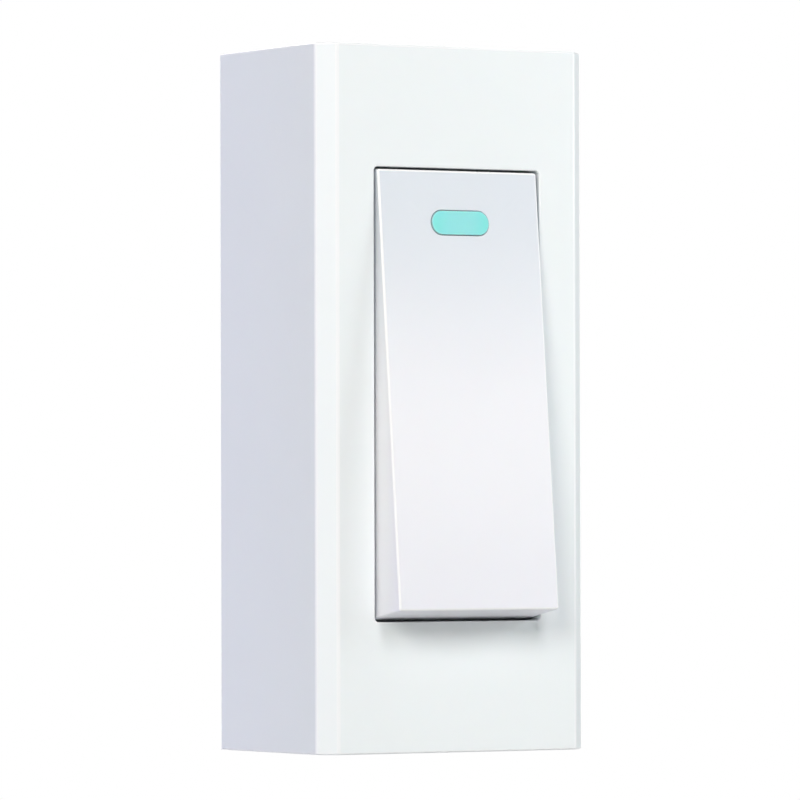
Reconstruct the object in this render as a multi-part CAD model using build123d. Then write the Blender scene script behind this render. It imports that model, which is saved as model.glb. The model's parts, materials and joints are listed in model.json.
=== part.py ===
from build123d import *
from math import cos, radians, sin, tan
import os

# Narrow surface-mounted light switch with one rocker. Sizes are in millimetres.
# X is to the right and Z is up. The wall is the plane y = 0 and the front faces -Y.
# A depth is a distance in front of the wall.

# How far a cut runs past the face it opens
overcut = 1.0

# Cover: one deep moulded shell with a window for the rocker
cover_width = 38.0
cover_height = 86.0
cover_depth = 25.0
cover_wall = 1.8
front_wall = 2.0
edge_chamfer = 2.0
inner_chamfer = 1.0
edge_round = 0.5
inner_round = 1.0
window_width = 23.7
window_height = 55.2
window_rise = 0.55
window_corner = 0.8
window_bevel = 0.3
guide_rib = 1.2
guide_rib_depth = 5.0
guide_rib_length = 44.0
stiffener = 1.2
stiffener_depth = 3.0
stiffener_rise = 35.5
release_width = 8.0
release_depth = 1.2
release_reach = 1.05

# Base plate: screwed to the wall, carries the mechanism and the cover's catches
base_gap = 0.2
base_thickness = 2.2
rim_wall = 1.5
rim_height = 5.0
wire_width = 18.0
wire_height = 34.0
wire_corner = 2.0
rest_rib = 1.6
screw_spacing = 60.0
wall_screw_bore = 2.1
wall_screw_head = 4.2
head_seat = 1.9
boss_wall = 1.3
boss_height = 2.2
post_radius = 2.5
post_inset = 3.1
post_rise = 20.0
catch_rise = 31.0
catch_length = 7.0
catch_reach = 0.8
catch_depth = 2.4
catch_size = 1.8
catch_ramp = 0.6
catch_gap = 0.2

# Rocker: a hollow cap on two stub pins, with the plunger tube under its middle
side_gap = 0.5
end_gap = 0.75
skirt_depth = 8.5
skirt_wall = 1.5
face_wall = 1.8
end_draft = 4.5
rest_tilt = 5.35
pivot_set_back = 3.5
rocker_corner = 0.7
rocker_bevel = 0.3
rocker_rib = 1.2
rocker_rib_depth = 3.6
rocker_rib_offset = 6.3
pin_radius = 1.5
pin_gap = 0.05
ear_gap = 0.25
tube_wall = 1.0
tube_reach = 3.8

# Indicator lens: a stadium pushed in from behind the face
lens_width = 8.2
lens_height = 3.0
lens_from_top = 6.4
lens_gap = 0.06
lens_proud = 0.12
lens_flange = 0.7
lens_flange_depth = 0.8

# Plunger and its spring
plunger_radius = 1.5
plunger_gap = 0.08
plunger_rear = 1.6
plunger_pocket_radius = 1.05
plunger_pocket_depth = 3.4
tip_gap = 0.12
spring_wire = 0.2
spring_radius = 0.78
spring_pitch = 2.6
spring_wire_sides = 5
spring_end_gap = 0.05
tube_roof = 0.9

# Housing: the insulating body, with its flange, ears, stops and pockets
housing_height = 10.0
housing_end = 24.0
housing_round = 1.0
post_clearance = 0.4
flange_thickness = 2.0
flange_overlap = 0.8
stop_height = 0.7
stop_gap = 0.3
stop_length = 2.4
stop_width = 4.6
stop_offset = 7.6
driver_clearance = 3.8
tray_width = 12.4
tray_length = 27.0
tray_floor = 1.8
pocket_floor = 1.0
pocket_gap = 0.2
pocket_wall = 1.5
side_wall = 0.8
side_rise = -8.4
side_length = 14.0
ear_thickness = 2.2
ear_wall = 1.4
ear_base = 9.0
ear_mouth = 2.5
lug_wall = 0.2

# Contact guard: the lid over the contact tray
guard_thickness = 1.5
guard_ledge = 0.8
guard_gap = 0.12
guard_slot_width = 3.9
guard_slot_length = 5.6
keeper = 0.9
keeper_gap = 0.2

# Terminals: folded brass strips, rising cages and their screws
strip_thickness = 0.8
strip_width = 3.4
strip_fold = 0.5
strip_slit = 0.2
strip_start = 6.2
strip_step_start = 11.6
strip_step_run = 2.0
strip_tail = 0.6
strip_drop = 1.1
cage_width = 5.6
cage_height = 6.4
cage_length = 5.6
cage_wall = 1.0
cage_start = 16.0
cage_gap = 0.2
terminal_screw_radius = 1.5
terminal_head_radius = 2.3
terminal_head_height = 1.5
terminal_head_lift = 0.4
terminal_well = 2.6
thread_gap = 0.02
bracket_width = 3.2
bracket_inner = 5.8
bracket_rise = 1.0

# Contacts and the tipping arm
contact_rise = 8.5
contact_radius = 1.6
contact_height = 0.8
contact_clearance = 0.25
rivet_radius = 0.8
arm_ratio = 1.5
arm_thickness = 0.8
arm_width = 5.0
arm_half_length = 10.6
arm_flat = 3.4
arm_step_run = 1.6
arm_step = 0.9
arm_fold = 0.5
arm_tab_width = 1.1
arm_tab_reach = 4.2
arm_notch_gap = 0.06

# Screws that hold the housing to the base
housing_screw_radius = 1.25
housing_screw_length = 9.0
housing_screw_head = 2.3
housing_screw_head_height = 1.3
pilot_gap = 0.3
lug_hole_gap = 0.2
screw_slot = 0.6
screw_slot_depth = 0.7

# Places worked out from the sizes above
inner_width = cover_width - 2 * cover_wall
inner_height = cover_height - 2 * cover_wall
base_width = inner_width - 2 * base_gap
base_height = inner_height - 2 * base_gap
rocker_width = window_width - 2 * side_gap
rocker_length = window_height - 2 * end_gap
pivot_depth = cover_depth - pivot_set_back
tilt = radians(rest_tilt)
# The pressed end of the face lies flush with the front of the cover.
face_height = (rocker_length / 2 * sin(tilt) + pivot_set_back) / cos(tilt)
skirt_drop = skirt_depth - face_height
skirt_half = rocker_length / 2 + skirt_depth * tan(radians(end_draft))
skirt_low = pivot_depth - skirt_half * sin(tilt) - skirt_drop * cos(tilt)
flange_front = skirt_low - stop_gap - stop_height
flange_back = flange_front - flange_thickness
housing_back = flange_front - housing_height
tray_back = housing_back + tray_floor
post_x = inner_width / 2 - post_inset
housing_width = 2 * (post_x - post_radius - post_clearance)
flange_half = rocker_length / 2 - flange_overlap
lug_radius = post_radius + lug_wall
ear_x = rocker_width / 2 - skirt_wall - ear_gap - ear_thickness / 2
side_x = base_width / 2 - rim_wall - 2 * pocket_gap - side_wall - cage_width / 2
cage_front = flange_back - cage_gap
strip_front = cage_front - cage_wall - strip_drop
strip_back = strip_front - strip_thickness
arm_tilt = rest_tilt * arm_ratio
contact_face = tray_back + strip_thickness + contact_height
arm_drop = contact_rise * sin(radians(arm_tilt))
arm_stack = (arm_thickness / 2 + arm_step + contact_height) * cos(radians(arm_tilt))
arm_depth = contact_face + contact_clearance + arm_drop + arm_stack
plunger_tip = pivot_depth - arm_depth - arm_thickness / 2 - tip_gap
cage_centre = cage_start + cage_length / 2
terminal_spots = [(0, cage_centre), (0, -cage_centre), (side_x, side_rise)]
post_spots = [(x, z) for x in (-post_x, post_x) for z in (-post_rise, post_rise)]
bore_radius = pin_radius + pin_gap
tube_bore = plunger_radius + plunger_gap

# Poses of the mechanism, the rocker and the arm as the switch stands at rest
centred = Pos(0, 0, window_rise)
rocker_pose = Pos(0, -pivot_depth, window_rise) * Rot(-rest_tilt, 0, 0)
arm_pose = Pos(0, -arm_depth, window_rise) * Rot(arm_tilt, 0, 0)


def at_depth(depth):
    """Plane parallel to the wall, with X across and Z up, facing the front."""
    return Plane(origin=(0, -depth, 0), x_dir=(1, 0, 0), z_dir=(0, -1, 0))


def slab(outline, back, front):
    """Solid of an outline between two depths."""
    return extrude(at_depth(back) * outline, amount=front - back)


def side_view(x=0.0):
    """Plane seen from the side, with Z along it and the depth up."""
    return Plane(origin=(x, 0, 0), x_dir=(0, 0, 1), z_dir=(1, 0, 0))


def plan_view(z=0.0):
    """Plane seen from above, with X along it and the depth up."""
    return Plane(origin=(0, 0, z), x_dir=(1, 0, 0), z_dir=(0, 0, -1))


def both_ways(plane, outline, width):
    """Solid of an outline, centred on its plane."""
    return extrude(plane * outline, amount=width / 2, both=True)


def shape_of(*points):
    """Outline through points, kept where they are."""
    return make_face(Polyline(*points, close=True))


def cover_catch(side, rise):
    """Ramped nib on the inside of the cover's long wall."""
    wall = side * inner_width / 2
    nib = side * (inner_width / 2 - catch_reach)
    profile = shape_of(
        (wall, catch_depth),
        (nib, catch_depth + catch_ramp),
        (nib, catch_depth + catch_size - catch_ramp),
        (wall, catch_depth + catch_size),
    )
    return both_ways(plan_view(rise), profile, catch_length)


def make_cover():
    """Deep shell with bevelled long edges, the window and its guide ribs."""
    profile = shape_of(
        (-cover_width / 2, 0),
        (cover_width / 2, 0),
        (cover_width / 2, cover_depth - edge_chamfer),
        (cover_width / 2 - edge_chamfer, cover_depth),
        (edge_chamfer - cover_width / 2, cover_depth),
        (-cover_width / 2, cover_depth - edge_chamfer),
    )
    shell = both_ways(plan_view(), profile, cover_height)
    rear = shell.edges().filter_by_position(Axis.Y, -0.01, 0.01)
    shell = fillet(shell.edges() - rear, edge_round)
    cavity_depth = cover_depth - front_wall
    cavity = slab(RectangleRounded(inner_width, inner_height, inner_round), 0, cavity_depth)
    roof = cavity.faces().sort_by(Axis.Y)[0]
    cavity = chamfer(roof.edges().filter_by(Axis.Z), inner_chamfer)
    shell -= cavity
    window = RectangleRounded(window_width, window_height, window_corner)
    shell -= centred * slab(window, cavity_depth - overcut, cover_depth + overcut)
    front = shell.faces().sort_by(Axis.Y)[0]
    shell = chamfer(front.inner_wires()[0].edges(), window_bevel)
    rib_x = window_width / 2 + guide_rib / 2
    for side in (-1, 1):
        rib = Pos(side * rib_x, 0) * Rectangle(guide_rib, guide_rib_length)
        shell += centred * slab(rib, cavity_depth - guide_rib_depth, cavity_depth)
        for rise in (-catch_rise, catch_rise):
            shell += cover_catch(side, rise)
        bar = Pos(0, side * stiffener_rise) * Rectangle(inner_width, stiffener)
        shell += slab(bar, cavity_depth - stiffener_depth, cavity_depth)
    notch = Pos(0, -cover_height / 2) * Rectangle(release_width, 2 * release_reach)
    return shell - slab(notch, 0, release_depth)


def make_base_plate():
    """Plate with a rim, screw seats, wire opening, housing posts and rest ribs."""
    outline = RectangleRounded(base_width, base_height, inner_round)
    rim_inner = RectangleRounded(base_width - 2 * rim_wall, base_height - 2 * rim_wall, inner_round)
    plate = slab(outline, 0, base_thickness)
    plate += slab(outline - rim_inner, 0, rim_height)
    for x, z in post_spots:
        plate += centred * slab(Pos(x, z) * Circle(post_radius), 0, flange_back)
    for side in (-1, 1):
        rib = Pos(side * (wire_width + rest_rib) / 2, 0) * Rectangle(rest_rib, wire_height)
        boss_size = 2 * (wall_screw_head + boss_wall)
        plate += centred * slab(rib, 0, housing_back)
        spot = Pos(0, side * screw_spacing / 2)
        plate += slab(spot * Rectangle(boss_size, boss_size), 0, base_thickness + boss_height)
    plate -= centred * slab(RectangleRounded(wire_width, wire_height, wire_corner), 0, housing_back)
    slot_back = catch_depth - catch_gap
    slot_front = catch_depth + catch_size + catch_gap
    catch_slot = Rectangle(2 * (rim_wall + overcut), catch_length + 2 * catch_gap)
    for side in (-1, 1):
        spot = Pos(0, side * screw_spacing / 2)
        plate -= slab(spot * Circle(wall_screw_bore), 0, base_thickness)
        plate -= slab(spot * Circle(wall_screw_head), head_seat, base_thickness + boss_height)
        for rise in (-catch_rise, catch_rise):
            plate -= slab(Pos(side * base_width / 2, rise) * catch_slot, slot_back, slot_front)
    for x, z in post_spots:
        bottom = flange_front - housing_screw_length - pilot_gap
        pilot = Pos(x, z) * Circle(housing_screw_radius + thread_gap)
        plate -= centred * slab(pilot, bottom, flange_back)
    return plate


def rocker_block(length, width, top, bottom, draft):
    """Cap-shaped block about the pivot, whose ends flare towards the wall."""
    flare = (top - bottom) * tan(radians(draft))
    profile = shape_of(
        (-length / 2, top),
        (length / 2, top),
        (length / 2 + flare, bottom),
        (-length / 2 - flare, bottom),
    )
    return both_ways(side_view(), profile, width)


def make_rocker():
    """Hollow cap with stub pins, ribs, plunger tube and the lens opening."""
    low = -skirt_drop
    under = face_height - face_wall
    cap = rocker_block(rocker_length, rocker_width, face_height, low, end_draft)
    upright = [e for e in cap.edges() if abs(e.tangent_at(0.5).Y) > 0.5]
    cap = fillet(upright, rocker_corner)
    face = cap.faces().sort_by(Axis.Y)[0]
    cap = chamfer(face.edges(), rocker_bevel)
    flare = face_wall * tan(radians(end_draft))
    inner_length = rocker_length - 2 * skirt_wall + 2 * flare
    cap -= rocker_block(inner_length, rocker_width - 2 * skirt_wall, under, low - overcut, end_draft)
    for side in (-1, 1):
        rib = Pos(side * rocker_rib_offset, 0) * Rectangle(rocker_rib, inner_length)
        cap += slab(rib, under - rocker_rib_depth, under)
    web = Rectangle(2 * rocker_rib_offset, rocker_rib)
    cap += slab(web, under - rocker_rib_depth, under)
    cap += slab(Circle(tube_bore + tube_wall), -tube_reach, under)
    cap -= slab(Circle(tube_bore), -tube_reach, under - tube_roof)
    pin_start = rocker_width / 2 - skirt_wall
    pin_length = pin_start - (ear_x - ear_thickness / 2) - ear_gap
    for side in (-1, 1):
        pin = Plane(origin=(side * pin_start, 0, 0), z_dir=(-side, 0, 0)) * Circle(pin_radius)
        cap += extrude(pin, amount=pin_length)
    opening = SlotOverall(lens_width + 2 * lens_gap, lens_height + 2 * lens_gap)
    lens_rise = rocker_length / 2 - lens_from_top
    cap -= slab(Pos(0, lens_rise) * opening, under - overcut, face_height + overcut)
    return rocker_pose * cap


def make_indicator_lens():
    """Stadium lens with a flange that bears on the back of the rocker's face."""
    under = face_height - face_wall
    spot = Pos(0, rocker_length / 2 - lens_from_top)
    window = slab(spot * SlotOverall(lens_width, lens_height), under, face_height + lens_proud)
    top = window.faces().sort_by(Axis.Y)[0]
    window = chamfer(top.edges(), lens_proud)
    flange = SlotOverall(lens_width + 2 * lens_flange, lens_height + 2 * lens_flange)
    window += slab(spot * flange, under - lens_flange_depth, under)
    return rocker_pose * window


def make_plunger():
    """Round-nosed plunger, hollow behind for its spring."""
    shoulder = -(plunger_tip - plunger_radius)
    body = slab(Circle(plunger_radius), shoulder, -plunger_rear)
    body += Pos(0, -shoulder, 0) * Sphere(plunger_radius)
    pocket = slab(Circle(plunger_pocket_radius), -plunger_rear - plunger_pocket_depth, -plunger_rear)
    return rocker_pose * (body - pocket)


def make_plunger_spring():
    """Compression spring between the tube's roof and the plunger's pocket."""
    bottom = -plunger_rear - plunger_pocket_depth + spring_end_gap + spring_wire
    top = face_height - face_wall - tube_roof - spring_end_gap - spring_wire
    path = Helix(pitch=spring_pitch, height=top - bottom, radius=spring_radius)
    section = Plane(origin=path @ 0, z_dir=path % 0) * RegularPolygon(spring_wire, spring_wire_sides)
    coil = sweep(section, path=path, is_frenet=True)
    return rocker_pose * Pos(0, -bottom, 0) * Rot(90, 0, 0) * coil


def make_housing():
    """Insulating body with its flange, stops, ears, tray and terminal pockets."""
    body = slab(Rectangle(housing_width, 2 * housing_end), housing_back, flange_back)
    flange = RectangleRounded(housing_width, 2 * flange_half, housing_round)
    body += slab(flange, flange_back, flange_front)
    side_outer = side_x + cage_width / 2 + pocket_gap + side_wall
    side_block = Pos(side_outer / 2, side_rise) * Rectangle(side_outer, side_length)
    body += slab(side_block, housing_back, flange_front)
    for x, z in post_spots:
        lug = Pos(x, z) * Circle(lug_radius) + Pos(x / 2, z) * Rectangle(abs(x), 2 * lug_radius)
        body += slab(lug, flange_back, flange_front)
    for x in (-stop_offset, stop_offset):
        for z in (-flange_half, flange_half):
            inset = z - stop_length / 2 if z > 0 else z + stop_length / 2
            stop = Pos(x, inset) * Rectangle(stop_width, stop_length)
            body += slab(stop, flange_front, flange_front + stop_height)
    for z in (-screw_spacing / 2, screw_spacing / 2):
        scallop = Pos(0, z - window_rise) * Circle(driver_clearance)
        body -= slab(scallop, flange_back, flange_front + stop_height)
    for x in (-ear_x, ear_x):
        body += pivot_ear(x)
    body -= slab(Rectangle(tray_width, tray_length), tray_back, flange_front)
    rebate = Rectangle(tray_width + 2 * guard_ledge, tray_length + 2 * guard_ledge)
    body -= slab(rebate, flange_front - guard_thickness, flange_front)
    body -= terminal_pockets()
    for x, z in post_spots:
        body -= slab(Pos(x, z) * Circle(housing_screw_radius + lug_hole_gap), flange_back, flange_front)
    return centred * body


def pivot_ear(x):
    """Tapered ear with a snap-in bearing for the rocker's stub pin."""
    head = ear_wall + bore_radius
    ear = shape_of(
        (-ear_base / 2, flange_front),
        (ear_base / 2, flange_front),
        (head, pivot_depth),
        (-head, pivot_depth),
    )
    axis = Pos(0, pivot_depth)
    mouth = shape_of(
        (-ear_mouth / 2, pivot_depth),
        (ear_mouth / 2, pivot_depth),
        (ear_mouth / 2, pivot_depth + bore_radius),
        (bore_radius + ear_wall / 2, pivot_depth + head),
        (-bore_radius - ear_wall / 2, pivot_depth + head),
        (-ear_mouth / 2, pivot_depth + bore_radius),
    )
    profile = ear + axis * Circle(head) - axis * Circle(bore_radius) - mouth
    return both_ways(side_view(x), profile, ear_thickness)


def terminal_pockets():
    """Room for the three cages, their strips, wires and screw heads."""
    back = housing_back + pocket_floor
    width = cage_width + 2 * pocket_gap
    inner = tray_length / 2 + pocket_wall
    slit_width = strip_width + 2 * strip_slit
    room = Part()
    for side in (-1, 1):
        pocket = Pos(0, side * (inner + housing_end) / 2) * Rectangle(width, housing_end - inner)
        room += slab(pocket, back, flange_back)
        slit = Pos(0, side * (tray_length + pocket_wall) / 2) * Rectangle(slit_width, 2 * pocket_wall)
        room += slab(slit, tray_back, strip_front + strip_slit)
    side_end = side_rise - side_length / 2
    side_top = side_rise + cage_length / 2 + pocket_gap
    side_pocket = Pos(side_x, (side_end + side_top) / 2) * Rectangle(width, side_top - side_end)
    room += slab(side_pocket, back, flange_back)
    link = Rectangle(side_x - tray_width / 2 + strip_width, slit_width)
    link_spot = Pos((tray_width / 2 + side_x) / 2, link_rise())
    room += slab(link_spot * link, strip_back - strip_slit, strip_front + strip_slit)
    for x, z in terminal_spots:
        room += slab(Pos(x, z) * Circle(terminal_well), flange_back, flange_front)
    return room


def make_contact_guard():
    """Lid over the tray, slotted for the plunger, with ribs that keep the arm down."""
    width = tray_width + 2 * guard_ledge - 2 * guard_gap
    length = tray_length + 2 * guard_ledge - 2 * guard_gap
    back = flange_front - guard_thickness
    lid = slab(Rectangle(width, length), back, flange_front)
    lid -= slab(SlotOverall(guard_slot_length, guard_slot_width, rotation=90), back, flange_front)
    keeper_x = (bracket_inner + strip_thickness) / 2
    for x in (-keeper_x, keeper_x):
        rib = Pos(x, 0) * Rectangle(keeper, bracket_width)
        lid += slab(rib, arm_depth + bracket_rise + keeper_gap, back)
    return centred * lid


def folded_strip(plane, points, width):
    """Sheet of one thickness, folded along a line of points on a plane."""
    line = FilletPolyline(*points, radius=strip_fold + strip_thickness / 2)
    return both_ways(plane, trace(line, line_width=strip_thickness), width)


def make_end_terminal(side):
    """Folded strip from a fixed contact on the tray floor up into the end cage."""
    low = tray_back + strip_thickness / 2
    high = strip_back + strip_thickness / 2
    end = cage_start + cage_length + strip_tail
    points = [
        (side * strip_start, low),
        (side * strip_step_start, low),
        (side * (strip_step_start + strip_step_run), high),
        (side * end, high),
    ]
    strip = folded_strip(side_view(), points, strip_width)
    hole = Pos(0, side * contact_rise) * Circle(rivet_radius + thread_gap)
    return centred * (strip - slab(hole, tray_back, tray_back + strip_thickness))


def link_rise():
    """Height of the common strip where it crosses from the tray to the side pocket."""
    return -(bracket_width + strip_width) / 2 - strip_slit


def make_common_terminal():
    """Bracket that the arm tips on, with its folded link to the side cage."""
    low = tray_back + strip_thickness / 2
    high = strip_back + strip_thickness / 2
    wall = (bracket_inner + strip_thickness) / 2
    top = arm_depth + bracket_rise
    fold = [(-wall, top), (-wall, low), (wall, low), (wall, top)]
    bracket = folded_strip(plan_view(), fold, bracket_width)
    notch_radius = (arm_tab_width**2 + arm_thickness**2) ** 0.5 / 2 + arm_notch_gap
    notch = Pos(0, arm_depth) * Circle(notch_radius)
    notch += Pos(0, arm_depth + bracket_rise) * Rectangle(2 * notch_radius, 2 * bracket_rise)
    bracket -= both_ways(side_view(), notch, bracket_inner + 2 * (strip_thickness + overcut))
    riser = tray_width / 2 - strip_slit - strip_thickness / 2
    link = folded_strip(
        plan_view(link_rise()),
        [(0, low), (riser, low), (riser, high), (side_x + strip_width / 2, high)],
        strip_width,
    )
    tie_height = bracket_width / 2 - link_rise() + strip_width / 2
    tie = Pos(0, bracket_width / 2 - tie_height / 2) * Rectangle(strip_width, tie_height)
    leg_end = side_rise - cage_length / 2 - strip_tail
    leg_top = link_rise() + strip_width / 2
    leg = Pos(side_x, (leg_top + leg_end) / 2) * Rectangle(strip_width, leg_top - leg_end)
    strip = bracket + link + slab(tie, tray_back, tray_back + strip_thickness)
    return centred * (strip + slab(leg, strip_back, strip_front))


def make_cage(x, z):
    """Square tube that the strip runs through, drilled for its screw."""
    back = cage_front - cage_height
    cage = slab(Pos(x, z) * Rectangle(cage_width, cage_length), back, cage_front)
    bore = Pos(x, z) * Rectangle(cage_width - 2 * cage_wall, cage_length + 2 * overcut)
    cage -= slab(bore, back + cage_wall, cage_front - cage_wall)
    long_edges = cage.edges().filter_by(Axis.Z).group_by(SortBy.DISTANCE)[-1]
    cage = fillet(long_edges, edge_round)
    thread = Pos(x, z) * Circle(terminal_screw_radius + thread_gap)
    cage -= slab(thread, cage_front - cage_wall, cage_front)
    return centred * cage


def slotted_screw(x, z, tip, seat, shank_radius, head_radius, head_height):
    """Cheese-head screw with a driver slot."""
    screw = slab(Pos(x, z) * Circle(head_radius), seat, seat + head_height)
    slot = Pos(x, z) * Rectangle(2 * (head_radius + overcut), screw_slot)
    screw -= slab(slot, seat + head_height - screw_slot_depth, seat + head_height)
    return centred * (screw + slab(Pos(x, z) * Circle(shank_radius), tip, seat))


def make_terminal_screws():
    """Three screws that bear on the strips inside the cages."""
    seat = cage_front + terminal_head_lift
    sizes = (terminal_screw_radius, terminal_head_radius, terminal_head_height)
    return Part() + [slotted_screw(x, z, strip_front, seat, *sizes) for x, z in terminal_spots]


def make_housing_screws():
    """Four screws through the housing's lugs into the base posts."""
    tip = flange_front - housing_screw_length
    sizes = (housing_screw_radius, housing_screw_head, housing_screw_head_height)
    return Part() + [slotted_screw(x, z, tip, flange_front, *sizes) for x, z in post_spots]


def contact_rivet(z, seat, facing):
    """Contact button on its rivet. It faces the front for 1 and the wall for -1."""
    face = seat + facing * contact_height
    button = slab(Pos(0, z) * Circle(contact_radius), min(seat, face), max(seat, face))
    tail = seat - facing * strip_thickness
    return button + slab(Pos(0, z) * Circle(rivet_radius), min(seat, tail), max(seat, tail))


def make_fixed_contact(z):
    """Contact button on an end terminal."""
    return centred * contact_rivet(z, tray_back + strip_thickness, 1)


def make_moving_contact(z):
    """Contact button under one end of the arm."""
    return arm_pose * contact_rivet(z, -arm_step - arm_thickness / 2, -1)


def make_contact_arm():
    """Sheet arm with stepped ends, and side tabs that rest in the bracket's notches."""
    half = [(0, 0), (arm_flat, 0), (arm_flat + arm_step_run, -arm_step), (arm_half_length, -arm_step)]
    points = [(-z, depth) for z, depth in reversed(half[1:])] + half[1:]
    line = FilletPolyline(*points, radius=arm_fold + arm_thickness / 2)
    arm = both_ways(side_view(), trace(line, line_width=arm_thickness), arm_width)
    arm += slab(Rectangle(2 * arm_tab_reach, arm_tab_width), -arm_thickness / 2, arm_thickness / 2)
    for z in (-contact_rise, contact_rise):
        hole = Pos(0, z) * Circle(rivet_radius + thread_gap)
        arm -= slab(hole, -arm_step - arm_thickness, 0)
    return arm_pose * arm


nodes = {
    "cover": make_cover(),
    "base_plate": make_base_plate(),
    "housing": make_housing(),
    "contact_guard": make_contact_guard(),
    "rocker": make_rocker(),
    "indicator_lens": make_indicator_lens(),
    "plunger": make_plunger(),
    "plunger_spring": make_plunger_spring(),
    "contact_arm": make_contact_arm(),
    "upper_moving_contact": make_moving_contact(contact_rise),
    "lower_moving_contact": make_moving_contact(-contact_rise),
    "upper_fixed_contact": make_fixed_contact(contact_rise),
    "lower_fixed_contact": make_fixed_contact(-contact_rise),
    "upper_terminal": make_end_terminal(1),
    "lower_terminal": make_end_terminal(-1),
    "common_terminal": make_common_terminal(),
    "upper_cage": make_cage(*terminal_spots[0]),
    "lower_cage": make_cage(*terminal_spots[1]),
    "common_cage": make_cage(*terminal_spots[2]),
    "terminal_screws": make_terminal_screws(),
    "housing_screws": make_housing_screws(),
}

os.makedirs("parts", exist_ok=True)
for name, shape in nodes.items():
    export_step(shape, f"parts/{name}.step")
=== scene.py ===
"""Looks of a narrow surface-mounted light switch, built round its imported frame.

The switch stands in the frame's own axes: X to the right, Z up, the wall at y = 0 and the
front towards -Y. Sizes are in millimetres until a piece is finished, and then in metres.
"""
import json
import logging
import math
from dataclasses import dataclass, field
from enum import Enum
from typing import Callable, Sequence

import bmesh
import bpy
from mathutils import Matrix, Vector

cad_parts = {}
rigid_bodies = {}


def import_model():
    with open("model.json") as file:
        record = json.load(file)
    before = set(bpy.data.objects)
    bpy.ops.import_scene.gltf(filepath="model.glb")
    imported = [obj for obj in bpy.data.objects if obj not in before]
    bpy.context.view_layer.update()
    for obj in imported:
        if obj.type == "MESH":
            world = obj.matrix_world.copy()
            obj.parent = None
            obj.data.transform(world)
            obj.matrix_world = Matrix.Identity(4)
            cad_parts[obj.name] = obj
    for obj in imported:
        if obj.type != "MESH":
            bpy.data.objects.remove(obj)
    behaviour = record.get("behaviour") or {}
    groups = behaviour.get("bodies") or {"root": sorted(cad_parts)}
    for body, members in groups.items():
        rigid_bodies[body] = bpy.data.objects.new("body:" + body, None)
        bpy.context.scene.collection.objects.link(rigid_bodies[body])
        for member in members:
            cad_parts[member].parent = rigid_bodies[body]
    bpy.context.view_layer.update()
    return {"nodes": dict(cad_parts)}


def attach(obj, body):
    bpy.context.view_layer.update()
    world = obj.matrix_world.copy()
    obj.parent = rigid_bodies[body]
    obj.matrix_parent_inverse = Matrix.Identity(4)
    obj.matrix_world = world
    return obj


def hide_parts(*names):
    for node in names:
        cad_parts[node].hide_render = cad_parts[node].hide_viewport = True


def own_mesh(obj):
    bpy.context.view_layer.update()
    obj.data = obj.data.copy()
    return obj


# One millimetre in metres.
MM = 0.001
# Millimetres within which two places count as one, and within which two corners merge.
NEAR = 0.02
WELD = 0.0005
# Part of a face's normal along an axis, above which the face is square to it.
FLAT = 0.99
# Share of a plate's height that rounds its ends to half circles.
HALF_ROUND = 0.499
# Levels of a noise that count as its two ends, for broad patches and for an even spread.
BROAD = (0.35, 0.65)
EVEN = (0.3, 0.7)
ORIGIN = (0.0, 0.0, 0.0)
FRONT = (0.0, -1.0, 0.0)
WHITE = (1.0, 1.0, 1.0)
# The switch's three terminals, as its names call them.
WAYS = ("upper", "lower", "common")
LOG = logging.getLogger("switch")

Colour = tuple[float, float, float]
Point = tuple[float, float, float]
Spot = tuple[float, float]
Socket = bpy.types.NodeSocket
Material = bpy.types.Material
Vert = bmesh.types.BMVert
Edge = bmesh.types.BMEdge
Face = bmesh.types.BMFace

SOCKETS = {
    "colour": "Base Color",
    "metallic": "Metallic",
    "roughness": "Roughness",
    "ior": "IOR",
    "coat": "Coat Weight",
    "coat_roughness": "Coat Roughness",
    "subsurface": "Subsurface Weight",
    "subsurface_scale": "Subsurface Scale",
}


class Body(Enum):
    """Bodies of the frame that a piece can ride on."""

    CASE = "case"
    ROCKER = "rocker"
    PLUNGER = "plunger"
    ARM = "contact_arm"


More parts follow.
